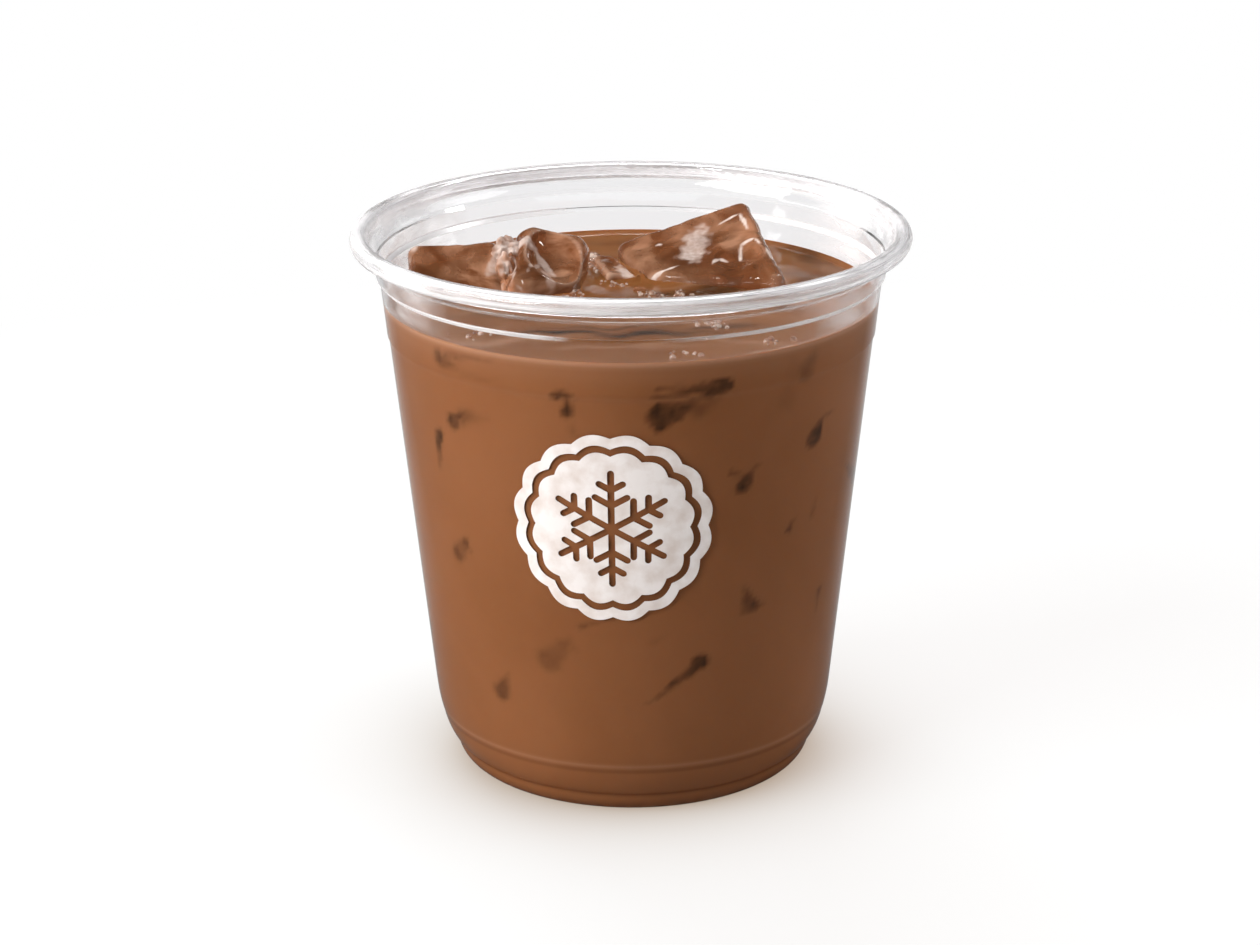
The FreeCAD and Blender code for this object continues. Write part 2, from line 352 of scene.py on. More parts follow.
def milky_chocolate(name, deep, pale, gloss, roughness):
    """Milky cocoa: opaque and soft, with a cream haze and paler milk, painted highlight lines and painted
    shade lines, and darker where ice lies just under it.
    """
    shader = Shader(
        name,
        IOR=1.34,
        Roughness=roughness,
        Specular_IOR_Level=gloss,
        Subsurface_Radius=(1.0, 0.45, 0.25),
        Subsurface_Scale=0.0012,
        Subsurface_Weight=0.25,
    )
    haze = shader.spread(shader.noise(30, detail=3, distortion=0.6), 0.35, 0.65)
    brown = shader.blend(haze, deep, pale)
    # paler milk and painted highlight lines
    milk_and_highlight = shader.blend(shader.attribute("pale_milk_and_highlight"), brown, CREAM_AND_HIGHLIGHT)
    # painted shade lines at the lower crease and the groove
    line_shaded = shader.blend(shader.attribute("painted_line_shade"), milk_and_highlight, LINE_SHADE_COLOUR)
    shaded = shader.blend(shader.attribute("ice_shade"), line_shaded, OVER_ICE)
    shader.link(shaded, "Base Color")
    shader.bump(shader.noise(110, detail=2), 0.00002)
    return shader.material


def wet_ice():
    """Half-melted ice with a brown wet film, clear in places and frosted in others, with a painted highlight
    on its edges and painted glints among the frost.
    """
    shader = Shader("wet_ice", IOR=1.31)
    clouds = shader.spread(shader.noise(110, detail=4, distortion=0.8), 0.36, 0.66)
    veins = shader.spread(shader.noise(70, detail=5, stretch=(1, 0.5, 2.5), distortion=1.6), 0.46, 0.62)
    milky = shader.blend(clouds, ICE_BROWN, ICE_CLOUD)
    clouded = shader.blend(veins, milky, ICE_VEIN)
    # a painted highlight on the edges that stand out
    tint = shader.blend(shader.attribute("edge"), clouded, ICE_EDGE_HIGHLIGHT)
    fine = shader.spread(shader.noise(1100, detail=3), 0.35, 0.7, 0.72, 1)
    # frost, and painted glints
    frost_and_glint = shader.maths("MULTIPLY", shader.attribute("frost_and_glint"), fine)
    shader.link(shader.blend(frost_and_glint, tint, ICE_FROST_AND_GLINT), "Base Color")
    clear = shader.spread(clouds, 0, 1, 0.64, 0.4)
    shader.link(shader.maths("MULTIPLY", clear, shader.spread(frost_and_glint, 0, 1, 1, 0.25)), "Transmission Weight")
    shader.link(shader.spread(frost_and_glint, 0, 1, 0.03, 0.2), "Roughness")
    shader.bump(shader.noise(420, detail=3), 0.0001)
    shader.let_lamps_through()
    return shader.material


def white_print():
    """A thin print with a slightly uneven coat."""
    shader = Shader("white_print", Roughness=0.42, IOR=1.45)
    coat = shader.spread(shader.noise(260, detail=4), 0.34, 0.6)
    shader.link(shader.blend(coat, THIN_PRINT, FULL_PRINT), "Base Color")
    shader.bump(coat, 0.00003)
    return shader.material


def clear_bubbles():
    """The thin wet skins of small bubbles."""
    shader = Shader("clear_bubbles", Transmission_Weight=0.7, IOR=1.3, Roughness=0.04)
    mottle = shader.spread(shader.noise(700, detail=2), 0.4, 0.6)
    shader.link(shader.blend(mottle, BUBBLE_BROWN, BUBBLE_PALE), "Base Color")
    shader.bump(shader.noise(900, detail=1), 0.00002)
    shader.let_lamps_through()
    return shader.material


CLEAR_PLASTIC = clear_plastic()
CHOCOLATE_SIDE = milky_chocolate(
    "chocolate_side", (0.213, 0.080, 0.029, 1), (0.239, 0.092, 0.036, 1), gloss=0.05, roughness=0.45
)
CHOCOLATE_SURFACE = milky_chocolate(
    "chocolate_surface", (0.190, 0.070, 0.021, 1), (0.268, 0.108, 0.040, 1), gloss=0.32, roughness=0.12
)
ICE = wet_ice()
PRINT = white_print()
BUBBLES = clear_bubbles()

# ---- the cup ----

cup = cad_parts["cup"]
cup.data.materials.clear()
cup.data.materials.append(CLEAR_PLASTIC)

# ---- the floating ice ----

# A mark pushes the upper face of a piece out, or in, round a place in plan. A patch is frosted
# on the ice, or a painted glint there, and stained or paler on the liquid. All in millimetres, and the turns
# in degrees.
Mark = namedtuple("Mark", "across along radius push")
Patch = namedtuple("Patch", "across along half_length half_width turn strength", defaults=[1.0])

MARKS = {
    "ice_left": [
        Mark(-31, 9, 4.5, -0.5),
        Mark(-26, 4, 3.0, 0.45),
        Mark(-35, 3, 2.6, -0.35),
        Mark(-31.4, 12, 1.0, 0.3),
    ],
    "ice_centre": [
        Mark(-19, 10, 1.6, 0.6),
        Mark(-15.4, 4, 2.4, -0.2),
        Mark(-11, 7, 2.2, 0.25),
    ],
    "ice_right": [
        Mark(18.4, 5.0, 2.0, -0.6),
        Mark(21.5, 4.2, 1.2, 0.4),
        Mark(15.3, 1.6, 1.6, -0.5),
        Mark(17.5, 15.5, 2.6, -0.5),
        Mark(12, 13, 3.6, -0.35),
        Mark(5.1, 18, 0.9, 0.35),
        Mark(8, 8, 3.2, 0.35),
        Mark(20, 10, 1.4, -0.3),
    ],
    "ice_chip": [],
}
PATCHES = {
    "ice_left": [
        Patch(-38.2, 11, 4, 0.8, 80, 0.7),
        Patch(-24, 5, 3.5, 1.1, 75, 0.6),
        Patch(-31.4, 11.8, 1.2, 0.4, 0),
        Patch(-31, 14.2, 6, 0.35, 2),
    ],
    "ice_centre": [
        Patch(-19.2, 10, 2.6, 1.3, 20, 0.8),
        Patch(-20.8, 1.5, 3.2, 0.6, 90, 0.6),
        Patch(-14.5, 0, 4.5, 0.8, 105, 0.5),
        Patch(-17, 3, 4, 0.5, 75, 0.5),
        Patch(-12, 16, 4, 0.4, -10, 0.5),
        Patch(-15.3, 6, 4.8, 0.8, -66, 0.6),
    ],
    # the two wide patches here are frost; the small and thin ones are painted glints
    "ice_right": [
        Patch(11.8, 16.4, 6.2, 2.6, 84, 0.66),
        Patch(10.6, 13.0, 2.4, 1.8, 10, 0.78),
        Patch(5.1, 18, 0.7, 0.5, 0),
        Patch(17.7, 22.9, 2.4, 0.34, 33),
        Patch(20.4, 21.3, 2.7, 0.4, -78),
        Patch(19.6, 11.5, 2.0, 0.4, 86),
        Patch(21.0, 14.0, 1.3, 0.5, 25),
        Patch(22.7, 13.2, 1.3, 0.36, -70),
        Patch(15.0, 9.2, 1.3, 0.4, 67),
        Patch(16.5, 9.7, 1.0, 0.45, -40),
        Patch(4.8, 7.9, 4.0, 0.42, 23),
        Patch(24.6, 8.7, 2.2, 0.4, -77),
    ],
    "ice_chip": [Patch(-1.0, 9.5, 3.0, 1.4, 110, 0.85)],
}
ICE_VOXEL = 0.3 * MM
ICE_NOISE = {"ice_left": 0.8, "ice_centre": 0.9, "ice_right": 0.6, "ice_chip": 1.3}


def roughened(point, normal, seed, strength):
    """A melted surface: wide soft waves, smaller pits and fine ripples."""
    shift = Vector((seed, -seed, seed))
    wide = noise.noise(point / (6 * MM) + shift)
    small = noise.noise(point / (2.4 * MM) - shift)
    fine = noise.noise(point / (1.0 * MM) + shift)
    return point + normal * strength * (0.42 * wide + 0.2 * small + 0.05 * fine) * MM


def patch_reach(x, y, patch):
    """How far a place in plan is from the middle of a patch: 1 on its edge."""
    turn = math.radians(patch.turn)
    across = x / MM - patch.across
    along = y / MM - patch.along
    lengthwise = (across * math.cos(turn) + along * math.sin(turn)) / patch.half_length
    widthwise = (along * math.cos(turn) - across * math.sin(turn)) / patch.half_width
    return math.hypot(lengthwise, widthwise)


def frost_and_glint_at(point, patches, seed):
    """How frosted a point is, and how strong a painted glint is there, from 0 to 1, with ragged edges."""
    most = 0.0
    ragged = 0.45 * noise.noise(point / (1.3 * MM) + Vector((seed, 0, seed)))
    for patch in patches:
        reach = patch_reach(point.x, point.y, patch) + ragged
        most = max(most, patch.strength * min(1.0, max(0.0, (1.15 - reach) / 0.45)))
    return most


def swirl_at(point, patches):
    """How strongly a mark in the liquid shows, from 0 to 1, bent and soft."""
    bend_x = 2.2 * MM * noise.noise(point / (8 * MM))
    bend_y = 2.6 * MM * noise.noise(point / (7 * MM) + Vector((3, 1, 4)))
    fine = 0.3 * noise.noise(Vector((point.x / (3.5 * MM), point.y / (1.3 * MM), 0)))
    most = 0.0
    for patch in patches:
        reach = max(0.0, patch_reach(point.x + bend_x, point.y + bend_y, patch) + fine)
        most = max(most, patch.strength * math.exp(-1.1 * reach * reach))
    return most


def edge_highlight_values(mesh):
    """How far each corner of a mesh stands out from its neighbours, from 0 to 1, a little blurred."""
    points = vertices_of(mesh)
    normals = np.array([vertex.normal for vertex in mesh.vertices])
    pairs = np.array([edge.vertices[:] for edge in mesh.edges])
    pairs = np.concatenate([pairs, pairs[:, ::-1]])
    here, there = pairs.T
    count = np.bincount(here, minlength=len(points))
    step = points[here] - points[there]
    out = (step * normals[here]).sum(1) / np.linalg.norm(step, axis=1)
    values = np.bincount(here, out, len(points)) / count
    for _ in range(5):
        values = 0.4 * values + 0.6 * np.bincount(here, values[there], len(points)) / count
    return np.clip((values - 0.03) / 0.09, 0, 1)


def marked(point, normal, marks):
    """A point on the skin, pushed by the marks near it. Only what faces up is pushed."""
    upward = max(0.0, normal.z)
    for mark in marks:
        away = math.hypot(point.x / MM - mark.across, point.y / MM - mark.along) / mark.radius
        point = point + normal * mark.push * MM * upward * math.exp(-away * away)
    return point


def floating_ice(name, seed):
    """The node's form as a melted piece of ice."""
    piece = make_object(name + "_melted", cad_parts[name].data.copy(), ICE)
    remesh = piece.modifiers.new("Remesh", "REMESH")
    remesh.voxel_size = ICE_VOXEL
    smooth = piece.modifiers.new("Smooth", "SMOOTH")
    smooth.iterations = 3
    mesh = applied(piece)
    # where the ice stands out, its edges get a painted highlight
    write_attribute(mesh, "edge", edge_highlight_values(mesh))
    moved = []
    for vertex in mesh.vertices:
        point = marked(vertex.co.copy(), vertex.normal, MARKS[name])
        moved.append(roughened(point, vertex.normal, seed, ICE_NOISE[name]))
    for vertex, point in zip(mesh.vertices, moved):
        vertex.co = point
    frost_and_glint = [
        frost_and_glint_at(vertex.co, PATCHES[name], seed) * min(1.0, max(0.0, 2 * vertex.normal.z))
        for vertex in mesh.vertices
    ]
    write_attribute(mesh, "frost_and_glint", frost_and_glint)
    mesh.materials.clear()
    mesh.materials.append(ICE)
    mesh.shade_smooth()
    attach(piece, "root")
    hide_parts(name)
    return piece


floating = [floating_ice(name, seed) for seed, name in enumerate(MARKS, start=3)]

# frosted crumbs between the pieces: all in millimetres, and the turn in degrees
Crumb = namedtuple("Crumb", "across along height half_lengths turn")
CRUMBS = [
    Crumb(-22.0, 5.5, 87.4, (2.2, 5.6, 3.8), 10),
    Crumb(-22.0, 10.5, 88.6, (3.0, 4.4, 4.0), -20),
    Crumb(-21.5, 0.6, 85.8, (1.5, 2.6, 2.4), 15),
    Crumb(1.6, 3.0, 84.9, (1.3, 0.8, 0.5), 20),
    Crumb(-3.8, 21.4, 85.0, (1.6, 1.2, 0.9), 0),
]
BARE_HEIGHT = 88.0  # in millimetres: a crumb is frosted above it, and brown and clear below


def crumb_lump(crumb, seed):
    """One uneven lump, as a bmesh in the part's frame."""
    lump = bmesh.new()
    bmesh.ops.create_icosphere(lump, subdivisions=5, radius=1.0)
    shift = Vector((seed, 0, -seed))
    for vertex in lump.verts:
        swell = 1 + 0.35 * noise.noise(vertex.co * 1.4 + shift) + 0.12 * noise.noise(vertex.co * 4 - shift)
        vertex.co *= swell
    bmesh.ops.scale(lump, vec=Vector(crumb.half_lengths) * MM, verts=lump.verts)
    place = Matrix.Translation(Vector((crumb.across, crumb.along, crumb.height)) * MM)
    place @= Matrix.Rotation(math.radians(crumb.turn), 4, "Z")
    bmesh.ops.transform(lump, matrix=place, verts=lump.verts)
    return lump


def ice_crumbs():
    """Small rough ice that closes the gaps between the large pieces."""
    joined = bmesh.new()
    for seed, crumb in enumerate(CRUMBS):
        add_to(joined, crumb_lump(crumb, seed))
    mesh = as_mesh("ice_crumbs", joined)
    frost_and_glint = [
        0.2 * (vertex.co.z / MM - BARE_HEIGHT) + 0.9 * noise.noise(vertex.co / (1.5 * MM))
        for vertex in mesh.vertices
    ]
    write_attribute(mesh, "frost_and_glint", np.clip(frost_and_glint, 0, 1))
    piece = make_object("ice_crumbs", mesh, ICE)
    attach(piece, "root")


ice_crumbs()

# ---- the sunken ice ----

# A block of ice lies behind each mark that shows through the milk. A mark is a wedge: degrees
# round from the front and height of its dark end, length and width in millimetres, the turn
# of its length in degrees (0 points right, 90 up), how dark it is and how soft its edge is.
Shade = namedtuple("Shade", "angle height length width turn dark soft", defaults=[0.5])

SHADES = [
    Shade(-48.5, 82.0, 4.6, 2.8, -8, 0.60, 0.7),
    Shade(-46, 83.0, 10.5, 0.9, 6, 0.45, 0.5),
    Shade(-41, 80.2, 7.5, 0.8, 4, 0.25),
    Shade(-46.5, 71.0, 4.2, 2.6, 38, 0.90),
    Shade(-43, 72.2, 6.0, 2.6, 12, 0.40, 0.9),
    Shade(-52.6, 67.4, 6.5, 2.0, -97, 0.90, 0.4),
    Shade(-14.9, 76.4, 3.2, 2.3, 86, 0.95, 0.35),
    Shade(-16.9, 79.3, 3.4, 1.7, -4, 0.85, 0.3),
    Shade(-13.8, 72.6, 3.0, 1.2, 90, 0.30),
    Shade(6.6, 75.8, 7.0, 4.6, 16, 1.00, 0.5),
    Shade(6.2, 75.2, 2.0, 2.6, 70, 0.60, 0.4),
    Shade(5.2, 79.3, 12.0, 1.1, 6, 0.60, 0.3),
    Shade(20.6, 80.7, 9.0, 3.0, -176, 0.95, 0.35),
    Shade(18.0, 78.8, 7.0, 1.0, -172, 0.50, 0.3),
    Shade(5.6, 80.9, 9.0, 0.7, 3, 0.45, 0.25),
    Shade(15.0, 76.6, 5.0, 2.4, 30, 0.40, 0.9),
    Shade(48.6, 67.6, 3.4, 3.6, 60, 1.00, 0.4),
    Shade(43.0, 80.6, 4.0, 4.2, 60, 0.40, 0.9),
    Shade(38.0, 76.0, 8.0, 3.0, 85, 0.15, 1.2),
    Shade(52.0, 70.6, 3.6, 0.9, 12, 0.50, 0.3),
    Shade(27.2, 61.8, 3.2, 2.4, 64, 0.95, 0.4),
    Shade(23.8, 64.4, 3.6, 0.9, -22, 0.50, 0.3),
    Shade(30.5, 64.8, 2.6, 0.8, -140, 0.40, 0.3),
    Shade(42.5, 51.6, 2.8, 1.4, 50, 0.70, 0.4),
    Shade(50.5, 52.5, 3.4, 1.2, 70, 0.40, 0.6),
    Shade(-50.0, 46.2, 4.6, 3.2, 48, 0.55, 0.7),
    Shade(-46.6, 48.9, 2.6, 1.4, -60, 0.65, 0.4),
    Shade(31.8, 38.6, 4.6, 2.6, 118, 0.85, 0.5),
    Shade(30.2, 38.2, 4.0, 1.4, 8, 0.65, 0.5),
    Shade(58.5, 36.6, 4.2, 1.4, -96, 0.55, 0.6),
    Shade(-13.2, 36.9, 3.0, 1.0, 20, 0.55, 0.4),
    Shade(-22.8, 29.8, 6.0, 4.0, 48, 0.50, 0.9),
    Shade(-19.0, 33.4, 3.4, 1.4, -20, 0.40, 0.6),
    Shade(-38.8, 21.6, 4.6, 3.2, 62, 0.70, 0.6),
    Shade(17.8, 29.6, 5.2, 3.0, -140, 0.95, 0.4),
    Shade(17.0, 29.0, 11.0, 2.2, -142, 0.80, 0.35),
    Shade(5.0, 34.0, 3.0, 1.0, 30, 0.18, 0.7),
    Shade(-30.0, 57.0, 3.0, 1.4, 40, 0.15, 0.9),
]
# round the side that the front does not show
HIDDEN_SIDE, HIDDEN_HEIGHTS = (78, 282), (16, 82)
HIDDEN_SHADES = 34
SHARED_ANGLE, SHARED_HEIGHT = 12, 9  # shades closer than this, in degrees and millimetres, share a block
BLOCK_LENGTHS = (7.0, 12.0)
CORNER_ROUND = 0.18  # of a block's shortest length
BLOCK_START = 20 * MM  # from the middle, before a block is moved out to the wall
BLOCK_DEPTH = 0.35 * MM  # between a block's nearest corner and the wall
BLOCK_UNDER = 1.0 * MM  # between a block's highest corner and the surface


def hidden_shades():
    """More of the same where the photograph shows nothing, some with a thin line beside them."""
    chance = random.Random(11)
    first, last = HIDDEN_SIDE
    step = (last - first) / HIDDEN_SHADES
    shades = []
    for number in range(HIDDEN_SHADES):
        angle = first + step * (number + chance.uniform(0.1, 0.9))
        height = chance.uniform(*HIDDEN_HEIGHTS)
        turn = chance.uniform(-180, 180)
        dark = chance.uniform(0.35, 1.0)
        length = chance.choice((3.0, 4.5, 6.0, 9.0, 12.0))
        width = chance.uniform(1.2, 4.8)
        soft = chance.uniform(0.3, 0.9)
        shades.append(Shade(angle, height, length, width, turn, dark, soft))
        if number % 3:
            shades.append(Shade(angle + 1, height + 1, length * 1.1, 0.9, turn + 40, dark * 0.6, 0.3))
    return shades


def ice_block(shade, chance):
    """A rounded block against the wall behind a shade, as a bmesh in the part's frame."""
    lengths = Vector([chance.uniform(*BLOCK_LENGTHS) for _ in range(3)])
    block = bmesh.new()
    bmesh.ops.create_cube(block, size=1.0)
    bmesh.ops.scale(block, vec=lengths * MM, verts=block.verts)
    bmesh.ops.bevel(
        block,
        geom=block.verts[:] + block.edges[:],
        offset=min(lengths) * CORNER_ROUND * MM,
        segments=3,
        profile=0.6,
        affect="EDGES",
    )
    turns = Euler([math.radians(chance.uniform(20, 50)) for _ in range(3)])
    bmesh.ops.rotate(block, matrix=turns.to_matrix(), verts=block.verts)
    angle = math.radians(shade.angle)
    outward = Vector((math.sin(angle), -math.cos(angle), 0))
    start = outward * BLOCK_START + Vector((0, 0, shade.height * MM))
    bmesh.ops.translate(block, vec=start, verts=block.verts)
    # out to the wall, and down under the surface
    for _ in range(4):
        over = max(math.hypot(v.co.x, v.co.y) - inner_radius(v.co.z) for v in block.verts) + BLOCK_DEPTH
        above = max(0.0, max(v.co.z for v in block.verts) - POOL + BLOCK_UNDER)
        bmesh.ops.translate(block, vec=outward * -over - Vector((0, 0, above)), verts=block.verts)
    return block


def sunken_ice(shades):
    """Every sunken block in one piece. Close shades share a block."""
    chance = random.Random(23)
    joined = bmesh.new()
    placed = []
    for shade in shades:
        if any(
            abs(shade.angle - other.angle) < SHARED_ANGLE and abs(shade.height - other.height) < SHARED_HEIGHT
            for other in placed
        ):
            continue
        placed.append(shade)
        add_to(joined, ice_block(shade, chance))
    ice = make_object("sunken_ice", as_mesh("sunken_ice", joined), ICE)
    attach(ice, "root")


shades = SHADES + hidden_shades()
sunken_ice(shades)

# ---- the drink ----


def ring(radius, height):
    steps = np.arange(SEGMENTS) * 2 * math.pi / SEGMENTS
    return np.column_stack([radius * np.cos(steps), radius * np.sin(steps), np.full(SEGMENTS, height)])


# in from the wall, in millimetres: close together, for the surface bends up there
RINGS_BY_THE_WALL = [0.12, 0.25, 0.45, 0.75, 1.1, 1.6, 2.2]


def drink_rings():
    """Rings from the middle of the underside, out, up the side and in over the surface."""
    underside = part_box("drink")[0].z
    inmost, recess_edge = 3 * MM, RECESS_INSIDE - 0.2 * MM
    rings = [(radius, RECESS_TOP - EMBED) for radius in np.linspace(inmost, recess_edge, 6)]
    rings += [(RECESS_INSIDE - EMBED, underside - EMBED), (FOOT_INSIDE, underside - EMBED)]
    heights = np.concatenate([
        np.linspace(underside, SHOULDER, 34)[1:],
        np.linspace(SHOULDER, LEVEL, 100)[1:],
    ])
    rings += [(inner_radius(height) + EMBED, height) for height in heights]
    edge = rings[-1][0]
    inward = np.concatenate([
        edge - np.array(RINGS_BY_THE_WALL) * MM,
        np.linspace(edge - 2.8 * MM, 2 * MM, 86),
    ])
    for radius in inward:
        climb = (LEVEL + LIP - POOL) * fade(edge - EMBED - radius, 0.8 * MM)
        rings.append((radius, POOL + climb))
    return rings


def lathed(rings):
    """A closed mesh round Z through rings of one radius and height each."""
    points = np.concatenate([ring(radius, height) for radius, height in rings])
    points = np.concatenate([points, [[0, 0, rings[0][1]], [0, 0, rings[-1][1]]]])
    last = len(rings) - 1
    bottom, top = len(points) - 2, len(points) - 1
    faces = []
    for step in range(SEGMENTS):
        after = (step + 1) % SEGMENTS
        for row in range(last):
            low, high = row * SEGMENTS, (row + 1) * SEGMENTS
            faces.append((low + step, low + after, high + after, high + step))
        faces.append((bottom, after, step))
        faces.append((top, last * SEGMENTS + step, last * SEGMENTS + after))
    mesh = bpy.data.meshes.new("drink_body")
    mesh.from_pydata([tuple(point) for point in points], [], faces)
    return mesh


WET_REACH = 0.9 * MM  # how far from the ice the surface starts to climb
WET_CLIMB, GAP_CLIMB = 0.7, 2.2  # millimetres, beside one piece and between two


def climb_round_ice(mesh, ice_pieces):
    """Lifts the surface where it wets the ice, and more in the narrow gaps, and ripples it."""
    trees = [tree_of(piece.data) for piece in ice_pieces]
    for vertex in mesh.vertices:
        point = vertex.co
        inside = inner_radius(LEVEL) - math.hypot(point.x, point.y)
        if point.z < POOL - 0.01 * MM or inside < 0.3 * MM:
            continue
        near = sorted((tree.find_nearest(point)[3] for tree in trees))
        first, second = (fade(distance, WET_REACH) for distance in near[:2])
        climb = WET_CLIMB * first + GAP_CLIMB * first * second
        ripple = 0.10 * noise.noise(point / (9 * MM)) + 0.04 * noise.noise(point / (3 * MM))
        point.z += (climb + ripple * min(1, inside / (2 * MM))) * MM


KEPT_IN_CUTTER = 0.35  # the share of the faces that a cut needs: its walls are hidden by the ice


def cut_round(piece, ice_pieces):
    """Takes the ice out of the drink, a little within its skin so that no gap shows."""
    for ice in ice_pieces:
        cutter = bpy.data.objects.new("cutter", ice.data.copy())
        bpy.context.scene.collection.objects.link(cutter)
        normals = [vertex.normal.copy() for vertex in ice.data.vertices]
        for vertex, normal in zip(cutter.data.vertices, normals):
            vertex.co -= normal * EMBED
        fewer = cutter.modifiers.new("fewer", "DECIMATE")
        fewer.ratio = KEPT_IN_CUTTER
        cut = piece.modifiers.new("cut", "BOOLEAN")
        cut.operation = "DIFFERENCE"
        cut.solver = "MANIFOLD"
        cut.object = cutter
        applied(piece)
        bpy.data.objects.remove(cutter)


def shade_at(point, near):
    """How dark the sunken ice makes a place on the side, from 0 to 1."""
    radius = inner_radius(point.z)
    wander = 0.55 * noise.noise(point / (3.2 * MM))
    ripple = 0.3 * noise.noise(point / (1.2 * MM))
    angle = math.degrees(math.atan2(point.x, -point.y))
    most = 0.0
    for shade in near:
        turn = math.radians(shade.turn)
        across = math.radians(round_turn(angle - shade.angle)) * radius / MM + wander + ripple
        up = point.z / MM - shade.height + wander - ripple
        along = across * math.cos(turn) + up * math.sin(turn)
        aside = up * math.cos(turn) - across * math.sin(turn)
        part = min(1.0, max(0.0, along / shade.length))
        away = math.hypot(along - part * shade.length, aside)
        half_width = 0.5 * shade.width * (1 - part) ** 0.9
        core = min(1.0, max(0.0, (half_width - away) / (2.4 * shade.soft) + 0.55))
        most = max(most, shade.dark * (1 - 0.4 * part) * core * core * (3 - 2 * core))
    cloud = 0.9 + 0.45 * noise.noise(point / (1.7 * MM))
    return min(1.0, most * cloud)


# dark lines where ice lies just under the surface, and paler milk, as patches in plan
UNDER_SURFACE = [
    Patch(-11.5, -22.8, 9.0, 1.5, 3),
    Patch(3.0, -23.6, 11.0, 1.9, -2),
    Patch(-4.0, -20.0, 12.0, 0.8, 1, 0.6),
    Patch(15.0, -20.5, 6.0, 1.2, 12, 0.7),
    Patch(-20.0, -13.0, 8.0, 2.2, -8, 0.6),
    Patch(14, 0.6, 15, 3.6, 3, 0.9),
    Patch(22, -6.6, 8, 2.0, -8, 0.6),
    Patch(2, -9.0, 10, 2.4, 4, 0.5),
    Patch(-5.2, 12, 2.2, 5.0, 10, 0.8),
    Patch(32, 8, 4.0, 8, 10, 0.6),
    Patch(32, 27, 4.0, 8, 25, 0.7),
    Patch(-9.5, 25.5, 5.0, 3.0, 0, 0.5),
    Patch(-30, -4.5, 8, 2.0, -4, 0.6),
    Patch(4, 34, 12, 2.2, -6, 0.4),
]
PALE_MILK = [
    Patch(-2, -31.5, 15, 1.3, 2),
    Patch(-22, -28, 12, 2.6, 18, 1.5),
    Patch(21, -30, 11, 1.6, -20),
    Patch(-1, -17.0, 12, 1.2, 1, 0.7),
    Patch(16, -13.0, 14, 1.4, -10, 0.7),
    Patch(-14, -8.5, 10, 1.4, -14, 0.7),
    Patch(12, 3.6, 8, 0.7, -4, 0.9),
    Patch(14, -18.6, 3.2, 1.8, 20, 1.6),
    Patch(-29, -12, 2.0, 1.0, 0, 1.0),
    Patch(-20, 28, 12, 2.0, 30, 0.6),
    Patch(30, 22, 8, 2.0, -50, 0.6),
]


# painted highlight and painted shade lines round the side: height, strength and width, with the lengths in
# millimetres
PAINTED_HIGHLIGHT_LINES = [
    (LEVEL / MM - 0.1, 0.6, 0.5),
    (CREASE / MM + 0.5, 0.25, 0.4),
    (STACKING / MM, 0.16, 0.25),
    (LEVEL / MM - 1.5, 0.12, 2),
]
# painted shade lines: below the crease and in the groove
PAINTED_SHADE_LINES = [(CREASE / MM - 0.5, 0.45, 0.35), (GROOVE / MM, 0.85, 0.4)]
MARK_HEIGHT, MARK_ANGLE = 15, 25  # how far off, in millimetres and degrees, a shade can still matter


def round_turn(angle):
    """An angle in degrees, taken to between -180 and 180."""
    return (angle + 180) % 360 - 180


def drink_attributes(mesh, shades):
    """Writes where the drink shows sunken ice, pale milk and painted highlights, and its painted shade lines.
    """
    dim, pale, dark = (np.zeros(len(mesh.vertices)) for _ in range(3))
    for number, vertex in enumerate(mesh.vertices):
        point = vertex.co
        height = point.z / MM
        if math.hypot(point.x, point.y) > inner_radius(point.z) + 0.5 * EMBED:
            angle = math.degrees(math.atan2(point.x, -point.y))
            near = [
                shade
                for shade in shades
                if abs(height - shade.height) < MARK_HEIGHT
                and abs(round_turn(angle - shade.angle)) < MARK_ANGLE
            ]
            dim[number] = shade_at(point, near)
            pale[number] = sum(bell(height, *line) for line in PAINTED_HIGHLIGHT_LINES)
            dark[number] = sum(bell(height, *line) for line in PAINTED_SHADE_LINES)
        elif point.z > POOL - 0.6 * MM:
            dim[number] = swirl_at(point, UNDER_SURFACE)
            # a painted highlight along the front edge of the surface, by the wall
            rim = fade(inner_radius(LEVEL) - math.hypot(point.x, point.y), 3.0 * MM)
            frontward = min(1.0, max(0.0, -point.y / (20 * MM)))
            pale[number] = 0.36 * swirl_at(point, PALE_MILK) + 0.3 * rim * frontward
    for name, values in (("ice_shade", dim), ("pale_milk_and_highlight", pale), ("painted_line_shade", dark)):
        write_attribute(mesh, name, values)


def drink_body(ice_pieces, shades):
    mesh = lathed(drink_rings())
    climb_round_ice(mesh, ice_pieces)
    piece = make_object("drink_body", mesh, CHOCOLATE_SIDE)
    cut_round(piece, ice_pieces)
    mesh = piece.data
    drink_attributes(mesh, shades)
    mesh.materials.clear()
    mesh.materials.append(CHOCOLATE_SIDE)
    mesh.materials.append(CHOCOLATE_SURFACE)
    for face in mesh.polygons:
        middle = face.center
        on_side = math.hypot(middle.x, middle.y) > inner_radius(middle.z) + 0.4 * EMBED
        by_the_wall = math.hypot(middle.x, middle.y) > inner_radius(LEVEL) - 1.2 * MM
        face.material_index = 0 if on_side or (by_the_wall and middle.z > POOL - MM) else 1
    mesh.shade_smooth()
    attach(piece, "root")
    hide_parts("drink")
    return piece


drink = drink_body(floating, shades)

# ---- bubbles ----

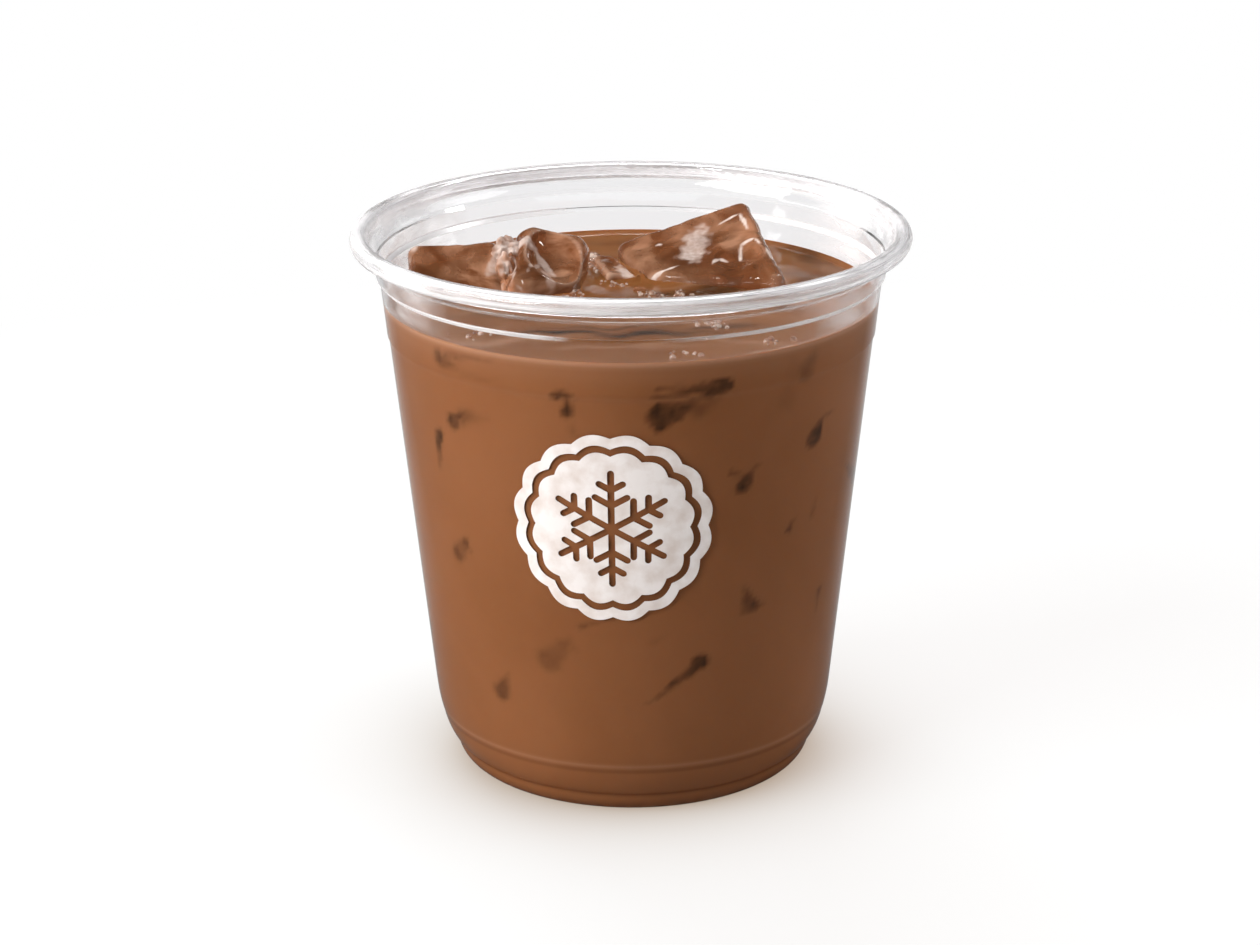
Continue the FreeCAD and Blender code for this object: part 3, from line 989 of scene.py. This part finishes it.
# where froth gathers: across, along and spread in millimetres, how many, and the largest radius
Froth = namedtuple("Froth", "across along spread count largest")
FROTH = [
    Froth(-8.0, 24.5, 2.2, 30, 1.0),
    Froth(-6.8, 19.5, 2.6, 24, 0.9),
    Froth(-5.0, 14.0, 1.8, 16, 0.8),
    Froth(2.6, -0.5, 2.2, 14, 0.6),
    Froth(9.0, -2.2, 3.0, 22, 0.5),
    Froth(20.0, -3.0, 3.4, 16, 0.5),
    Froth(-10.0, -1.5, 2.5, 14, 0.5),
    Froth(-23.0, -6.0, 3.0, 14, 0.5),
    Froth(-3.0, 6.0, 2.0, 12, 0.6),
    Froth(-26.0, -24.0, 4.0, 9, 0.5),
    Froth(9.0, -36.0, 4.0, 9, 0.6),
    Froth(24.0, -30.0, 4.0, 9, 0.6),
    Froth(14.0, -18.4, 2.8, 22, 0.5),
]


def bubbles():
    """Small clear bubbles, half sunk in the surface."""
    chance = random.Random(5)
    surface = tree_of(drink.data)
    joined = bmesh.new()
    for froth in FROTH:
        for _ in range(froth.count):
            x = (froth.across + chance.gauss(0, froth.spread * 0.5)) * MM
            y = (froth.along + chance.gauss(0, froth.spread * 0.5)) * MM
            radius = MM * min(froth.largest, 0.2 * math.exp(chance.expovariate(1.3)))
            hit, normal, _, _ = surface.ray_cast(Vector((x, y, CUP_TOP)), Vector((0, 0, -1)))
            if hit is None or hit.z < POOL - 0.5 * MM or normal.z < 0.6:
                continue
            place = Matrix.Translation(hit + Vector((0, 0, 0.2 * radius)))
            bmesh.ops.create_icosphere(joined, subdivisions=2, radius=radius, matrix=place)
    piece = make_object("surface_bubbles", as_mesh("bubbles", joined), BUBBLES)
    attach(piece, "root")


bubbles()

# ---- the badge ----

BADGE_ANGLE = math.radians(-5.0)
BADGE_HEIGHT = 55.6 * MM
BADGE_RADIUS = 17.3
BADGE_SCALLOPS = 16
BADGE_WAVE, BADGE_POINTS = 0.9, 320
BORDER, GAP = 1.9, 1.3
FLAKE_LINE = 1.15
FLAKE_REACH = 0.72  # of the inner disc
PRINT_LIFT, PRINT_DEPTH = 0.03 * MM, 0.03 * MM
STRIP = 0.8  # width of the strips that bend round the cup
SHORT_MITRE, LONG_MITRE = 0.5774, 1.7321  # 1 / tan 60 and tan 60: branches leave an arm at 60 degrees


def cap(centre, heading, width):
    """The round end of a stroke, anticlockwise round its tip."""
    turns = np.linspace(heading - math.pi / 2, heading + math.pi / 2, 7)
    return [(centre[0] + width / 2 * math.cos(t), centre[1] + width / 2 * math.sin(t)) for t in turns]


def flake_outline(reach, line):
    """One closed outline: six arms, each with two pairs of side branches."""
    half = line / 2
    lower_side = []
    for out, length in ((reach * 0.42, reach * 0.30), (reach * 0.70, reach * 0.22)):
        heading = -math.pi / 3
        tip = (out + length * math.cos(heading), length * math.sin(heading))
        lower_side.append((out - SHORT_MITRE * half, -half))
        lower_side += cap(tip, heading, line)
        lower_side.append((out + LONG_MITRE * half, -half))
    upper_side = [(x, -y) for x, y in reversed(lower_side)]
    arm = [(LONG_MITRE * half, -half)] + lower_side + cap((reach, 0), 0, line) + upper_side
    outline = []
    for number in range(6):
        turn = number * math.pi / 3 + math.pi / 6
        c, s = math.cos(turn), math.sin(turn)
        outline += [(x * c - y * s, x * s + y * c) for x, y in arm]
    return outline


def round_outline(radius, wave, scallops, count):
    """A circle with scallops that reach the radius and dip by the wave between them."""
    outline = []
    for turn in np.linspace(0, 2 * math.pi, count, endpoint=False):
        reach = radius - wave * (1 - abs(math.sin(turn * scallops / 2)))
        outline.append((reach * math.cos(turn), reach * math.sin(turn)))
    return outline


def filled(outlines):
    """A flat mesh inside closed outlines, each one inside another being a hole."""
    curve = bpy.data.curves.new("outline", "CURVE")
    curve.dimensions = "2D"
    curve.fill_mode = "BOTH"
    for outline in outlines:
        spline = curve.splines.new("POLY")
        spline.points.add(len(outline) - 1)
        spline.points.foreach_set("co", [c for x, y in outline for c in (x, y, 0, 1)])
        spline.use_cyclic_u = True
    holder = bpy.data.objects.new("outline", curve)
    bpy.context.scene.collection.objects.link(holder)
    graph = bpy.context.evaluated_depsgraph_get()
    mesh = bpy.data.meshes.new_from_object(holder.evaluated_get(graph))
    bpy.data.objects.remove(holder)
    return mesh


def badge():
    """A scalloped badge with a snow crystal, left bare where the drink shows through."""
    inner = BADGE_RADIUS - BORDER
    disc = inner - GAP
    rounds = [
        round_outline(radius, BADGE_WAVE, BADGE_SCALLOPS, BADGE_POINTS)
        for radius in (BADGE_RADIUS, inner, disc)
    ]
    flat = filled(rounds + [flake_outline(disc * FLAKE_REACH, FLAKE_LINE)])
    shape = bmesh.new()
    shape.from_mesh(flat)
    for edge in np.arange(-BADGE_RADIUS, BADGE_RADIUS, STRIP):
        whole = shape.verts[:] + shape.edges[:] + shape.faces[:]
        bmesh.ops.bisect_plane(shape, geom=whole, plane_co=(edge, 0, 0), plane_no=(1, 0, 0))
    # wrap: across becomes the angle round the cup, up becomes the height
    for vertex in shape.verts:
        height = BADGE_HEIGHT + vertex.co.y * MM
        radius = inner_radius(height) + WALL + PRINT_LIFT
        angle = BADGE_ANGLE + vertex.co.x * MM / (inner_radius(BADGE_HEIGHT) + WALL)
        vertex.co = (radius * math.sin(angle), -radius * math.cos(angle), height)
    bmesh.ops.recalc_face_normals(shape, faces=shape.faces[:])
    if shape.faces[:][0].normal.y > 0:
        bmesh.ops.reverse_faces(shape, faces=shape.faces[:])
    piece = make_object("printed_badge", as_mesh("badge", shape), PRINT)
    thick = piece.modifiers.new("Coat", "SOLIDIFY")
    thick.thickness = PRINT_DEPTH
    thick.offset = 1
    applied(piece).set_sharp_from_angle(angle=math.radians(30))
    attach(piece, "root")


badge()

# ---- floor, lamps and camera ----

ROOM_LIGHT = 0.62
# how bright the room is in gloss before and behind the cup, and the floor straight behind it
GLOSS_FRONT, GLOSS_BACK, GLOSS_BEHIND = 0.5, 0.3, 0.4
# what the floor near the cup gives of its own, and what it sends back of the light on it:
# together white where nothing shades it. Its own part stands for the room's light, which the
# cup keeps off close to the foot, where the drink's brown shows in the shade
FLOOR_GLOW = (0.84, 0.80, 0.78, 1)
FLOOR_LIT = (0.14, 0.17, 0.185, 1)
CONTACT_GLOW = (0.43, 0.33, 0.25, 1)
# what the floor sends back where it is not looked at: as soft light, and in gloss
FLOOR_BOUNCE = (0.48, 0.465, 0.45, 1)
FLOOR_GLOSS_FRONT = (0.04, 0.04, 0.04, 1)
FLOOR_GLOSS_BACK = (0.13, 0.125, 0.12, 1)
CONTACT_REACH = 11 * MM
FOOT_RADIUS = 30.1 * MM
FLOOR_HALF = 8.0
FLOOR_DROP = 0.05 * MM  # keeps the floor just clear of the foot


def floor_material():
    """A pale floor. Far from the cup it is plain white to look at; near it, it keeps the shadow."""
    shader = Shader("pale_floor")
    path = shader.node("LightPath").outputs
    seen = shader.maths("MAXIMUM", path["Is Camera Ray"], path["Is Transmission Ray"])
    across, along, _ = shader.node("SeparateXYZ", {0: shader.place()}).outputs
    away = shader.maths("SQRT", shader.maths("ADD", shader.square(across), shader.square(along)))
    # painted contact shadow: near the foot the floor's own glow dims and turns to the drink's brown
    from_foot = shader.maths("DIVIDE", shader.maths("SUBTRACT", FOOT_RADIUS, away), CONTACT_REACH)
    contact = shader.maths("MINIMUM", shader.maths("EXPONENT", from_foot), 1.0)
    glow = shader.blend(contact, FLOOR_GLOW, CONTACT_GLOW)

    # a glancing ray off the side of the cup goes on almost straight, and meets white floor
    sideways = shader.maths("MULTIPLY", shader.maths("ABSOLUTE", across), 1.7)
    straight_on = shader.spread(shader.maths("SUBTRACT", along, sideways), -0.14, 0.02, 0, GLOSS_BEHIND)
    at_back = shader.maths("MULTIPLY", path["Is Glossy Ray"], shader.spread(along, -0.02, 0.06))
    behind = shader.maths("MULTIPLY", at_back, straight_on)
    plain = shader.maths("MULTIPLY", seen, shader.spread(away, 0.12, 0.32))

    # in gloss the floor before the cup is dark, so that the front wall stays clear
    in_gloss = shader.blend(shader.spread(along, -0.15, 0.1), FLOOR_GLOSS_FRONT, FLOOR_GLOSS_BACK)
    unseen = shader.blend(path["Is Glossy Ray"], FLOOR_BOUNCE, in_gloss)
    lit = shader.node("BsdfDiffuse", {"Color": shader.blend(seen, unseen, FLOOR_LIT)})
    own = shader.node("Emission", {"Color": glow, "Strength": seen})
    near = shader.node("AddShader", {0: lit.outputs[0], 1: own.outputs[0]})
    white = shader.node("Emission", {"Color": (1, 1, 1, 1), "Strength": 1.0})
    far = shader.maths("MAXIMUM", plain, behind)
    whole = shader.node("MixShader", {0: far, 1: near.outputs[0], 2: white.outputs[0]})
    shader.tree.links.new(whole.outputs[0], shader.output.inputs["Surface"])
    return shader.material


def floor():
    corners = [(x * FLOOR_HALF, y * FLOOR_HALF, 0) for x, y in ((-1, -1), (1, -1), (1, 1), (-1, 1))]
    mesh = bpy.data.meshes.new("floor")
    mesh.from_pydata(corners, [], [(0, 1, 2, 3)])
    piece = make_object("floor", mesh, floor_material())
    piece.location.z = -FLOOR_DROP


MIDDLE, ICE_MIDDLE = (0, 0, 0.05), (0, 0, 0.09)  # what the lamps and the windows are turned to
WARM = (1.0, 0.985, 0.965)
WINDOW, WINDOW_POWER = (0.09, 0.16), 2.2


def lamp(name, place, target, size, power, colour=(1, 1, 1)):
    """A rectangular lamp at a place, turned to its target."""
    data = bpy.data.lights.new(name, "AREA")
    data.shape = "RECTANGLE"
    data.size, data.size_y = size
    data.energy = power
    data.color = colour
    light = bpy.data.objects.new(name, data)
    bpy.context.scene.collection.objects.link(light)
    light.location = place
    light.rotation_euler = (Vector(target) - Vector(place)).to_track_quat("-Z", "Y").to_euler()
    return light


def surroundings():
    """A white room: plain white to look at and through glass, and dimmer as a light and in gloss."""
    world = bpy.data.worlds.new("studio")
    bpy.context.scene.world = world
    world.use_nodes = True
    tree = world.node_tree
    path = add_node(tree, "LightPath").outputs
    direction = add_node(tree, "SeparateXYZ", {0: add_node(tree, "TexCoord").outputs["Generated"]})
    ranges = {"From Min": -0.3, "From Max": 0.3, "To Min": GLOSS_FRONT, "To Max": GLOSS_BACK}
    in_gloss = add_node(tree, "MapRange", {"Value": direction.outputs["Y"], **ranges}).outputs[0]
    looked_at = {0: path["Is Camera Ray"], 1: path["Is Transmission Ray"]}
    seen = add_node(tree, "Math", looked_at, operation="MAXIMUM").outputs[0]
    unseen = add_node(tree, "Mix", {0: path["Is Glossy Ray"], 2: ROOM_LIGHT, 3: in_gloss}).outputs[0]
    level = add_node(tree, "Mix", {0: seen, 2: unseen, 3: 1.0}).outputs[0]
    tree.links.new(level, tree.nodes["Background"].inputs["Strength"])


CAMERA_PLACE = Vector((-0.37, -536.4, 236.2)) * MM
CAMERA_TILT, CAMERA_ROLL = math.radians(18.97), math.radians(-0.31)
LENS, SENSOR = 90.5, 36.0


def camera():
    data = bpy.data.cameras.new("camera")
    data.lens = LENS
    data.sensor_width = SENSOR
    view = bpy.data.objects.new("camera", data)
    bpy.context.scene.collection.objects.link(view)
    turn = Matrix.Rotation(math.pi / 2 - CAMERA_TILT, 4, "X") @ Matrix.Rotation(CAMERA_ROLL, 4, "Z")
    view.matrix_world = Matrix.Translation(CAMERA_PLACE) @ turn
    bpy.context.scene.camera = view


def lamps():
    """Three soft lamps that gloss does not show, and two small windows that only gloss shows."""
    soft = [
        lamp("key", (-0.75, -0.45, 0.45), MIDDLE, (0.7, 0.7), 16.0, WARM),
        lamp("back", (-0.2, 0.65, 0.75), MIDDLE, (0.7, 0.5), 9.0),
        lamp("right", (0.85, 0.0, 0.35), MIDDLE, (0.7, 0.7), 6.2),
    ]
    for light in soft:
        light.visible_glossy = False
    windows = [
        lamp("window_left", (-0.4, -0.35, 0.8), ICE_MIDDLE, WINDOW, WINDOW_POWER),
        lamp("window_right", (0.5, 0.3, 0.75), ICE_MIDDLE, WINDOW, WINDOW_POWER),
    ]
    for light in windows:
        light.visible_diffuse = False
        light.visible_transmission = False


floor()
surroundings()
lamps()
camera()
bpy.context.scene.view_settings.view_transform = "Standard"
